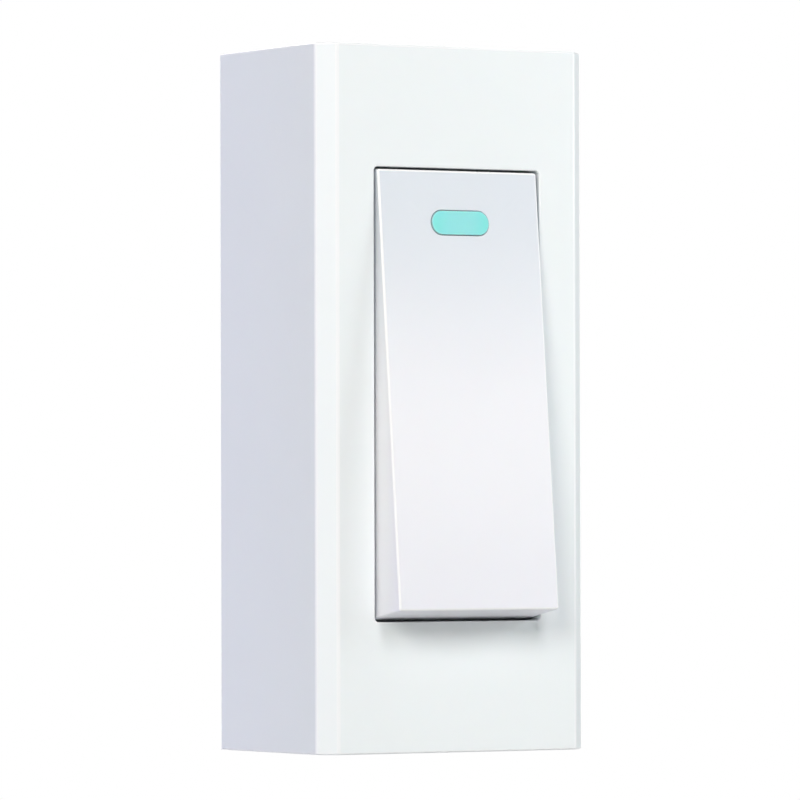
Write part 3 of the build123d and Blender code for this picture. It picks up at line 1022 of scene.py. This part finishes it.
@dataclass
class Rocker:
    """The hollow rocker cap with its pins, ribs and tube, and the lens in its face."""

    layout: Layout
    width: float = 22.7
    skirt: float = 8.5
    wall: float = 1.5
    draft: float = 4.5
    corner: float = 0.25
    edge_round: float = 0.24
    lens_width: float = 8.2
    lens_height: float = 3.0
    lens_from_top: float = 6.4
    lens_gap: float = 0.06
    lens_proud: float = 0.12
    lens_flange: float = 0.7
    face_wall: float = 1.8
    flange_depth: float = 0.8
    rib: float = 1.2
    rib_depth: float = 3.6
    rib_offset: float = 6.3
    pin_radius: float = 1.5
    pin_length: float = 2.2
    tube_radius: float = 2.58
    tube_bore: float = 1.58
    tube_reach: float = 3.8
    lens_round: float = 0.08
    lens_margin: float = 0.2
    rib_sunk: float = 0.4
    pin_sunk: float = 0.3
    tube_sunk: float = 0.2

    def low(self) -> float:
        """Depth of the skirt's rear rim from the pins' axis."""
        return self.layout.face_height - self.skirt

    def lens_rise(self) -> float:
        """Height of the lens's middle on the face."""
        return self.layout.rocker_length / 2 - self.lens_from_top

    def skin(self, part: Workpiece) -> None:
        """Shape the outer skin of the cap, open behind and at the lens.

        Args:
            part: Mesh that takes the skin.
        """
        half_x, half_z = self.width / 2, self.layout.rocker_length / 2
        top, low = self.layout.face_height, self.low()
        corners = part.block((-half_x, -top, -half_z), (half_x, -low, half_z))
        flare = self.skirt * math.tan(math.radians(self.draft))
        for corner in corners:
            if corner.co.y > -top + NEAR:
                corner.co.z *= (half_z + flare) / half_z
        uprights = [e for e in part.mesh.edges if abs(e.verts[0].co.y - e.verts[1].co.y) > self.skirt / 2]
        part.bevelled(uprights, self.corner, steps=5)
        part.open_faces(lambda f: abs(f.normal.y) > FLAT)
        outer = part.rim(top)
        gap = self.lens_gap
        hole = (self.lens_width + 2 * gap, self.lens_height + 2 * gap)
        inner = part.ring(*hole, HALF_ROUND * hole[1], 12, (0.0, -top, self.lens_rise()))
        part.panel(outer, inner)

    def on_face(self, edge: Edge) -> bool:
        """Tell if an edge lies on the outline of the face."""
        return lies_at(edge, self.layout.face_height) and not self.at_lens(edge)

    def at_lens(self, edge: Edge) -> bool:
        """Tell if an edge lies on the front rim of the lens opening."""
        size, front = (self.lens_width, self.lens_height), self.layout.face_height
        return lies_at(edge, front) and within(edge, size, self.lens_rise(), self.lens_margin)

    def inner_features(self, part: Workpiece) -> None:
        """Add the ribs, the plunger's tube and the two stub pins.

        Args:
            part: Mesh that has the walled cap.
        """
        under = self.layout.face_height - self.face_wall
        half_z = self.layout.rocker_length / 2 - self.wall
        for side in (-1, 1):
            x = side * self.rib_offset
            low = (x - self.rib / 2, -under - self.rib_sunk, -half_z)
            part.block(low, (x + self.rib / 2, self.rib_depth - under, half_z))
            length = self.pin_length + self.pin_sunk
            middle = side * (self.width / 2 - self.wall + self.pin_sunk - length / 2)
            part.post((middle, 0.0, 0.0), self.pin_radius, length, Axis.ACROSS, steps=36)
        half = self.rib / 2
        for side in (-1, 1):
            ends = sorted((side * self.rib_offset, side * (self.tube_radius - self.tube_sunk)))
            part.block((ends[0], -under - self.rib_sunk, -half), (ends[1], self.rib_depth - under, half))
        tube = Workpiece("tube")
        centre = (0.0, (self.tube_reach - under) / 2, 0.0)
        tube.post(centre, self.tube_radius, under + self.tube_reach, Axis.TO_FRONT, steps=40)
        tube.open_faces(lambda f: abs(f.normal.y) > FLAT)
        tube.walled(self.tube_radius - self.tube_bore)
        part.join(tube)

    def build(self, finish: Material, edge: Material) -> None:
        """Model and dress the rocker.

        Args:
            finish: Its material.
            edge: Finish of its edge roundings, whiter than the face as a painted highlight.
        """
        part = Workpiece("rocker_cap")
        self.skin(part)
        part.walled(self.wall)
        part.soften(self.at_lens, self.lens_round, steps=2)
        # Roundings with tint=1 take the edge finish, a painted highlight.
        part.soften(self.on_face, self.edge_round, steps=4, tint=1)
        self.inner_features(part)
        part.finish(Body.ROCKER, finish, "rocker", "rocker", pose=self.layout.rocker_pose(), edge=edge)

    def build_lens(self) -> None:
        """Model and dress the lens."""
        pose = self.layout.rocker_pose()
        top = self.layout.face_height + self.lens_proud
        under = self.layout.face_height - self.face_wall
        rise = self.lens_rise()
        part = Workpiece("teal_lens")
        self.stadium(part, self.lens_width, self.lens_height, under, top, rise)
        part.soften(lambda e: lies_at(e, top), self.lens_proud, steps=3)
        width, height = (size + 2 * self.lens_flange for size in (self.lens_width, self.lens_height))
        self.stadium(part, width, height, under - self.flange_depth, under, rise)
        tint = LensPlastic(
            name="teal_lens",
            middle=(0.305, 0.80, 0.80),
            ends=(0.245, 0.83, 0.79),
            # Painted shade ring at the rim, then the painted highlight band just inside it.
            rim=(0.28, 0.46, 0.48),
            painted_edge_highlight=(0.30, 0.86, 0.83),
            centre=tuple(MM * (pose @ Vector((0.0, -top, rise)))),
            tilt=math.radians(-self.layout.rest_tilt),
            half_run=MM * (self.lens_width - self.lens_height) / 2,
            radius=MM * self.lens_height / 2,
        )
        part.finish(Body.ROCKER, tint.material(), "indicator_lens", "indicator_lens", pose=pose)

    @staticmethod
    def stadium(part: Workpiece, width: float, height: float, back: float, front: float, rise: float) -> None:
        """Add a closed stadium-shaped plate.

        Args:
            part: Mesh that takes the plate.
            width: Its size along X.
            height: Its size along Z.
            back: Depth of its rear face.
            front: Depth of its front face.
            rise: Height of its middle.
        """
        ring = part.ring(width, height, HALF_ROUND * height, 14, (0.0, -front, rise))
        face = bmesh.ops.contextual_create(part.mesh, geom=ring)["faces"]
        made = bmesh.ops.extrude_face_region(part.mesh, geom=face, use_keep_orig=True)["geom"]
        moved = [v for v in made if isinstance(v, Vert)]
        bmesh.ops.translate(part.mesh, verts=moved, vec=(0.0, front - back, 0.0))


@dataclass
class Spring:
    """The plunger's compression spring, wound from round wire."""

    layout: Layout
    wire: float = 0.2
    radius: float = 0.78
    bottom: float = -4.75
    top: float = 3.08
    turns: float = 6.0
    pressed_share: float = 0.41

    def build(self, finish: Material) -> None:
        """Wind and dress the spring.

        Args:
            finish: Its material.
        """
        part = Workpiece("coil_spring")
        rise = self.top - self.bottom
        part.coil(self.bottom, self.radius, self.wire, rise, self.turns, steps=28, sides=12)
        pose = self.layout.rocker_pose()
        piece = part.finish(Body.ROCKER, finish, "spring_wire", "plunger_spring", pose=pose, crease=60.0)
        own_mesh(piece)


@dataclass(frozen=True)
class Fine:
    """How one inner node becomes a finer piece with softened edges."""

    node: str
    piece: str
    body: Body
    slot: str
    finish: str
    width: float


@dataclass
class Inside:
    """Inner parts that keep the frame's shape and get softened edges."""

    nodes: dict[str, bpy.types.Object]
    crease: float = 0.6
    parts: tuple[Fine, ...] = (
        Fine("base_plate", "base_tray", Body.CASE, "base_plate", "base_plate", 0.1),
        Fine("housing", "mechanism_housing", Body.CASE, "housing", "housing", 0.08),
        Fine("contact_guard", "tray_lid", Body.CASE, "contact_guard", "contact_guard", 0.1),
        Fine("contact_arm", "tipping_arm", Body.ARM, "contact_metal", "brass", 0.06),
        *(Fine(f"{way}_terminal", f"{way}_strip", Body.CASE, "contact_metal", "brass", 0.06) for way in WAYS),
        *(Fine(f"{way}_cage", f"{way}_clamp", Body.CASE, "cage", "zinc", 0.08) for way in WAYS),
    )

    def build(self, palette: dict[str, Material]) -> None:
        """Soften and dress each part.

        Args:
            palette: Materials by their short names.
        """
        for fine in self.parts:
            part = Workpiece(fine.piece)
            part.take(self.nodes[fine.node])
            part.soften(lambda e: True, fine.width, steps=2, least=self.crease)
            part.finish(fine.body, palette[fine.finish], fine.slot, fine.node)


@dataclass
class Screws:
    """Cheese-head screws with a slot and a rolled thread."""

    piece: str
    node: str
    spots: tuple[Spot, ...]
    tip: float
    seat: float
    shank: float
    head: float
    head_height: float
    slot: float = 0.6
    slot_depth: float = 0.7
    edge_round: float = 0.22
    ease: float = 0.1
    point: float = 0.3
    runout: float = 0.35
    pitch: float = 0.5
    thread_depth: float = 0.12
    turned: tuple[float, ...] = (20.0, 65.0, 110.0, 155.0)

    def build(self, finish: Material) -> None:
        """Turn, slot and dress the screws.

        Args:
            finish: Their material.
        """
        part = Workpiece(self.piece)
        for (x, z), angle in zip(self.spots, self.turned):
            one = Workpiece("screw")
            self.blank(one)
            self.cut_slot(one)
            place = Matrix.Translation((x, 0.0, z)) @ Matrix.Rotation(math.radians(angle), 4, "Y")
            bmesh.ops.transform(one.mesh, matrix=place, verts=one.mesh.verts[:])
            part.join(one)
        part.finish(Body.CASE, finish, "screw", self.node)

    def blank(self, one: Workpiece) -> None:
        """Turn the head and the threaded shank of one screw on the axis.

        Args:
            one: Mesh that takes the screw.
        """
        seat, top, core = self.seat, self.seat + self.head_height, self.shank - self.thread_depth
        side = [(0.0, seat), (self.head - self.ease, seat), (self.head, seat + self.ease)]
        one.turned([*side, *quarter_round(self.head, top, self.edge_round, steps=4), (0.0, top)], steps=56)
        body = Workpiece("shank")
        point = [(0.0, self.tip), (core - self.point, self.tip), (core, self.tip + self.point)]
        body.turned([*point, (core, seat + self.ease), (0.0, seat + self.ease)], steps=28)
        run = seat - self.tip - 2 * self.runout
        base = self.tip + self.runout
        body.coil(base, core, self.thread_depth, run, run / self.pitch, steps=20, sides=4)
        one.join(body)

    def on_head(self, face: Face) -> bool:
        """Tell if a face lies on the head."""
        return all(v.co.y < -self.seat - self.ease / 2 for v in face.verts)

    def cut_slot(self, one: Workpiece) -> None:
        """Cut the driver's slot across the head and close its walls and floor.

        Args:
            one: Mesh that has the head.
        """
        floor = self.seat + self.head_height - self.slot_depth
        half, close = self.slot / 2, 4 * WELD
        for point, normal in notch_planes(half, floor):
            one.cut([f for f in one.mesh.faces if self.on_head(f)], point, normal)
        centres = {f: f.calc_center_median() for f in one.mesh.faces if self.on_head(f)}
        inside = [f for f, centre in centres.items() if abs(centre.x) < half and centre.y < -floor - 2 * WELD]
        bmesh.ops.delete(one.mesh, geom=inside, context="FACES")
        corners = dict.fromkeys(v for e in one.mesh.edges if e.is_boundary for v in e.verts)
        ends = [v for v in corners if abs(v.co.y + floor) < close and abs(abs(v.co.x) - half) < close]
        for side in (-1, 1):
            bmesh.ops.contextual_create(one.mesh, geom=[v for v in ends if v.co.x * side > 0])
            wall = one.free_edges(lambda co: abs(co.x - side * half) < close and co.y < close - floor)
            bmesh.ops.contextual_create(one.mesh, geom=wall)
        bottom = one.free_edges(lambda co: abs(co.y + floor) < close and abs(co.x) < half + close)
        bmesh.ops.contextual_create(one.mesh, geom=bottom)


@dataclass
class Buttons:
    """Contact buttons with a crowned face, riveted through their strips."""

    layout: Layout
    radius: float = 1.6
    height: float = 0.8
    crown: float = 0.1
    crown_runs: Spot = (0.6, 0.3)
    soft: float = 0.25
    ease: float = 0.1
    rivet: float = 0.8
    strip: float = 0.8
    rise: float = 8.5
    arm_seat: float = -1.3

    def button(self, part: Workpiece, place: Matrix) -> None:
        """Turn one button that faces the front on a strip at height 0.

        Args:
            part: Mesh that takes it.
            place: Where it stands.
        """
        back = -self.strip
        tail = [(0.0, back), (self.rivet - self.ease, back), (self.rivet, back + self.ease)]
        foot = [(self.rivet, 0.0), (self.radius - self.ease / 2, 0.0), (self.radius, self.ease / 2)]
        edge = quarter_round(self.radius, self.height - self.crown, self.soft, steps=3)
        crown = [(self.radius * share, self.height - self.crown * share**2) for share in self.crown_runs]
        made = part.turned([*tail, *foot, *edge, *crown, (0.0, self.height)])
        bmesh.ops.transform(part.mesh, matrix=place, verts=made)

    def build(self, finish: Material) -> None:
        """Turn and dress the four buttons.

        Args:
            finish: Their material.
        """
        seat, arm = self.layout.contact_seat, self.layout.arm_pose()
        for way, side in zip(WAYS, (1, -1)):
            rise = side * self.rise
            fixed = Workpiece(f"{way}_fixed_button")
            self.button(fixed, Matrix.Translation((0.0, -seat, self.layout.window_rise + rise)))
            fixed.finish(Body.CASE, finish, "silver", f"{way}_fixed_contact")
            moving = Workpiece(f"{way}_moving_button")
            place = Matrix.Translation((0.0, -self.arm_seat, rise)) @ Matrix.Rotation(math.pi, 4, "X")
            self.button(moving, arm @ place)
            moving.finish(Body.ARM, finish, "silver", f"{way}_moving_contact")


@dataclass
class Plunger:
    """The round-nosed pin in the rocker's tube, hollow behind for its spring."""

    layout: Layout
    radius: float = 1.5
    rear: float = -1.6
    pocket: float = 1.05
    pocket_depth: float = 3.4
    ease: float = 0.1
    lip: float = 0.08
    steps: int = 10

    def build(self, finish: Material) -> None:
        """Turn and dress the pin.

        Args:
            finish: Its material.
        """
        part = Workpiece("nose_pin")
        tip, rear, floor = -self.layout.plunger_tip, self.rear, self.rear - self.pocket_depth
        turns = [math.pi / 2 * step / self.steps for step in range(self.steps + 1)]
        nose = [(self.radius * math.sin(a), tip + self.radius * (1 - math.cos(a))) for a in turns]
        rim = [(self.radius, rear - self.ease), (self.radius - self.ease, rear)]
        bore = [(self.pocket + self.lip, rear), (self.pocket, rear - self.lip), (self.pocket, floor)]
        part.turned([*nose, *rim, *bore, (0.0, floor)])
        part.finish(Body.PLUNGER, finish, "plunger", "plunger", pose=self.layout.rocker_pose())


def make_palette() -> dict[str, Material]:
    """Make the materials that more than one piece can use.

    Returns:
        The materials by their short names.
    """
    # The two edge finishes below are whiter than the faces they round: a painted highlight along the edges.
    edge = {"roughness": 0.36, "depth_glow": 0.0}
    finishes = {
        "cover": Plastic("cover_plastic", (0.905, 0.945, 0.95), (0.897, 0.937, 0.943)),
        # The rocker's plastic carries painted shade, darker towards its top and bottom.
        "rocker": HandledPlasticWithPaintedShade("rocker_plastic", (0.935, 0.935, 0.97), (0.928, 0.928, 0.965)),
        "cover_painted_highlight": Plastic("cover_painted_highlight_plastic", (0.96, 0.975, 0.98), (0.95, 0.97, 0.975), **edge),
        "rocker_painted_highlight": Plastic("rocker_painted_highlight_plastic", (0.99, 0.99, 0.995), (0.985, 0.985, 0.99), **edge),
        "base_plate": MarkedPlastic(
            "base_plastic",
            (0.80, 0.81, 0.82),
            (0.77, 0.78, 0.79),
            roughness=0.5,
            grain_strength=0.4,
            marks=tuple((x, 0.0, z) for x in (-0.013, 0.013) for z in (-0.037, -0.0195, 0.0205, 0.037)),
        ),
        "housing": Plastic(
            "housing_plastic", (0.66, 0.66, 0.62), (0.62, 0.62, 0.58), roughness=0.52, grain_strength=0.4
        ),
        "contact_guard": Plastic(
            "guard_plastic", (0.045, 0.05, 0.06), (0.035, 0.04, 0.05), roughness=0.45, depth_glow=0.0
        ),
        "plunger": Plastic("plunger_plastic", (0.78, 0.76, 0.68), (0.74, 0.72, 0.64), roughness=0.4),
        "brass": RolledMetal("brass_strip", (0.72, 0.50, 0.20), (0.50, 0.32, 0.13)),
        "silver": RolledMetal("silver_contact", (0.80, 0.79, 0.76), (0.55, 0.53, 0.49), roughness=0.35),
        "zinc": RolledMetal("zinc_plate", (0.62, 0.63, 0.65), (0.50, 0.51, 0.55), roughness=0.34),
        "screw": RolledMetal(
            "screw_steel", (0.60, 0.61, 0.63), (0.46, 0.47, 0.50), roughness=0.3, streak=(1.0, 0.2, 1.0)
        ),
        "spring_wire": RolledMetal("spring_wire", (0.56, 0.57, 0.60), (0.40, 0.41, 0.43), roughness=0.25),
    }
    return {name: finish.material() for name, finish in finishes.items()}


@dataclass(frozen=True)
class Viewpoint:
    """Where the photograph was taken from, in metres and degrees."""

    target: Point = (0.0, -0.025, 0.0)
    turn: float = 31.70
    climb: float = 1.03
    roll: float = -0.155
    distance: float = 0.803
    lens: float = 296.5
    sensor: float = 36.0
    frame_width: float = 800.0
    clip: Spot = (0.05, 60.0)
    aside: float = 58.0
    above: float = 0.7

    def place(self) -> bpy.types.Object:
        """Make the camera and aim it.

        Returns:
            The camera.
        """
        turn, climb, roll = (math.radians(a) for a in (self.turn, self.climb, self.roll))
        ahead = Vector((math.sin(turn) * math.cos(climb), math.cos(turn) * math.cos(climb), math.sin(climb)))
        right = Vector((math.cos(turn), -math.sin(turn), 0.0))
        up = right.cross(ahead)
        cos, sin = math.cos(roll), math.sin(roll)
        right, up = cos * right + sin * up, cos * up - sin * right
        focal = self.lens / self.sensor * self.frame_width
        aim = (ahead - right * (self.aside / focal) - up * (self.above / focal)).normalized()
        side = aim.cross(up).normalized()
        level = side.cross(aim)
        data = bpy.data.cameras.new("camera")
        data.lens = self.lens
        data.sensor_width = self.sensor
        data.clip_start, data.clip_end = self.clip
        camera = put("camera", data)
        turned = Matrix((side, level, -aim)).transposed().to_4x4()
        camera.matrix_world = Matrix.Translation(Vector(self.target) - ahead * self.distance) @ turned
        bpy.context.scene.camera = camera
        return camera


@dataclass(frozen=True)
class Lamp:
    """One soft rectangular lamp that shines on the switch."""

    name: str
    direction: Point
    distance: float
    size: Spot
    level: float
    colour: Colour
    aim: Point = (0.0, -0.02, 0.0)

    def place(self) -> None:
        """Hang the lamp and point it."""
        data = bpy.data.lights.new(self.name, "AREA")
        data.shape = "RECTANGLE"
        data.size, data.size_y = self.size
        data.energy = self.level * math.pi**2 * self.distance**2
        data.color = self.colour
        lamp = put(self.name, data)
        way = Vector(self.direction).normalized()
        lamp.location = Vector(self.aim) + way * self.distance
        lamp.rotation_mode = "QUATERNION"
        lamp.rotation_quaternion = way.to_track_quat("Z", "Y")
        lamp.visible_camera = False


def seen_share(tree: bpy.types.NodeTree) -> Socket:
    """Tell the rays that the eye follows, in mirrors and glass too, from those that carry light.

    Args:
        tree: Node tree that needs it.

    Returns:
        A number that is 1 for a ray that is seen.
    """
    path = tree.nodes.new("ShaderNodeLightPath")
    seen = path.outputs["Is Camera Ray"]
    for name in ("Is Glossy Ray", "Is Transmission Ray"):
        more = tree.nodes.new("ShaderNodeMath")
        more.operation = "MAXIMUM"
        tree.links.new(seen, more.inputs[0])
        tree.links.new(path.outputs[name], more.inputs[1])
        seen = more.outputs[0]
    return seen


@dataclass
class Studio:
    """Plain pale surroundings with soft light."""

    ambient: float = 0.01
    ambient_colour: Colour = (0.98, 0.99, 1.0)
    floor_level: float = -0.30
    floor_radius: float = 12.0
    floor_colour: Colour = (0.80, 0.805, 0.81)
    floor_roughness: float = 0.7
    glow_reach: Spot = (0.35, 1.2)
    glow_share: Spot = (0.45, 1.0)
    lamps: tuple[Lamp, ...] = (
        Lamp("left_key", (-1.2, -1.0, 0.78), 1.2, (0.42, 0.5), 0.455, (1.0, 0.985, 0.93)),
        Lamp("far_left", (-1.7, -1.0, 0.8), 1.2, (0.3, 0.4), 0.08, (1.0, 1.0, 0.93)),
        Lamp("front_key", (-0.14, -1.0, 0.80), 1.2, (0.30, 0.5), 0.39, (0.985, 0.965, 1.0)),
        Lamp("cool_fill", (-1.0, 0.2, 0.0), 0.06, (0.03, 0.3), 0.66, (0.42, 0.42, 1.0), (-0.019, 0.0, 0.0)),
        Lamp("right_fill", (2.2, -1.0, 0.5), 0.3, (0.1, 0.15), 0.385, (0.91, 0.99, 1.0)),
        Lamp("rear_fill", (0.35, 1.0, 0.25), 1.0, (0.6, 0.5), 0.72, WHITE),
    )

    def sky(self) -> None:
        """Make the world white to the eye and softer as a light."""
        world = bpy.data.worlds.new("studio")
        bpy.context.scene.world = world
        world.use_nodes = True
        tree = world.node_tree
        tree.nodes.clear()
        mix = tree.nodes.new("ShaderNodeMixShader")
        output = tree.nodes.new("ShaderNodeOutputWorld")
        tree.links.new(seen_share(tree), mix.inputs[0])
        lights = ((self.ambient_colour, self.ambient), (WHITE, 1.0))
        for target, (colour, strength) in zip(mix.inputs[1:], lights):
            light = tree.nodes.new("ShaderNodeBackground")
            light.inputs["Color"].default_value = (*colour, 1.0)
            light.inputs["Strength"].default_value = strength
            tree.links.new(light.outputs[0], target)
        tree.links.new(mix.outputs[0], output.inputs["Surface"])

    def floor(self) -> None:
        """Lay the pale floor, which turns white far away."""
        mesh = bmesh.new()
        middle = (0.0, 0.0, self.floor_level)
        place = Matrix.Translation(middle)
        bmesh.ops.create_circle(mesh, cap_ends=True, segments=96, radius=self.floor_radius, matrix=place)
        data = bpy.data.meshes.new("floor")
        mesh.to_mesh(data)
        mesh.free()
        made = Recipe("floor")
        far = made.span(made.apart(middle), *self.glow_reach, *self.glow_share)
        made.constant(colour=self.floor_colour, roughness=self.floor_roughness)
        glow = made.node("ShaderNodeEmission", WHITE, 1.0)
        share = made.math("MULTIPLY", far, seen_share(made.tree))
        mix = made.node("ShaderNodeMixShader", share, made.shader.outputs[0], glow.outputs[0])
        made.tree.links.new(mix.outputs[0], made.output.inputs["Surface"])
        data.materials.append(made.material)
        put("floor", data)

    def build(self) -> None:
        """Make the surroundings, the lamps and the camera."""
        bpy.context.scene.view_settings.view_transform = "Standard"
        self.sky()
        self.floor()
        for lamp in self.lamps:
            lamp.place()
        Viewpoint().place()


def clear_scene() -> None:
    """Take away whatever a new Blender file starts with."""
    for thing in list(bpy.data.objects):
        bpy.data.objects.remove(thing)


def main() -> None:
    """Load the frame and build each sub-assembly in turn."""
    logging.basicConfig(level=logging.INFO, format="%(name)s: %(message)s")
    clear_scene()
    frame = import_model()
    palette = make_palette()
    layout = Layout()
    Studio().build()
    Cover(layout).build(palette["cover"], palette["cover_painted_highlight"])
    rocker = Rocker(layout)
    rocker.build(palette["rocker"], palette["rocker_painted_highlight"])
    rocker.build_lens()
    Spring(layout).build(palette["spring_wire"])
    Plunger(layout).build(palette["plunger"])
    Inside(frame["nodes"]).build(palette)
    Buttons(layout).build(palette["silver"])
    Screws(
        "terminal_screw_set",
        "terminal_screws",
        layout.terminal_spots(),
        tip=layout.strip_front,
        seat=layout.cage_front + layout.head_gap,
        shank=1.5,
        head=2.3,
        head_height=1.5,
    ).build(palette["screw"])
    Screws(
        "housing_screw_set",
        "housing_screws",
        layout.post_spots(),
        tip=layout.flange_front - layout.post_screw,
        seat=layout.flange_front,
        shank=1.25,
        head=2.3,
        head_height=1.3,
    ).build(palette["screw"])


if __name__ == "__main__":
    main()
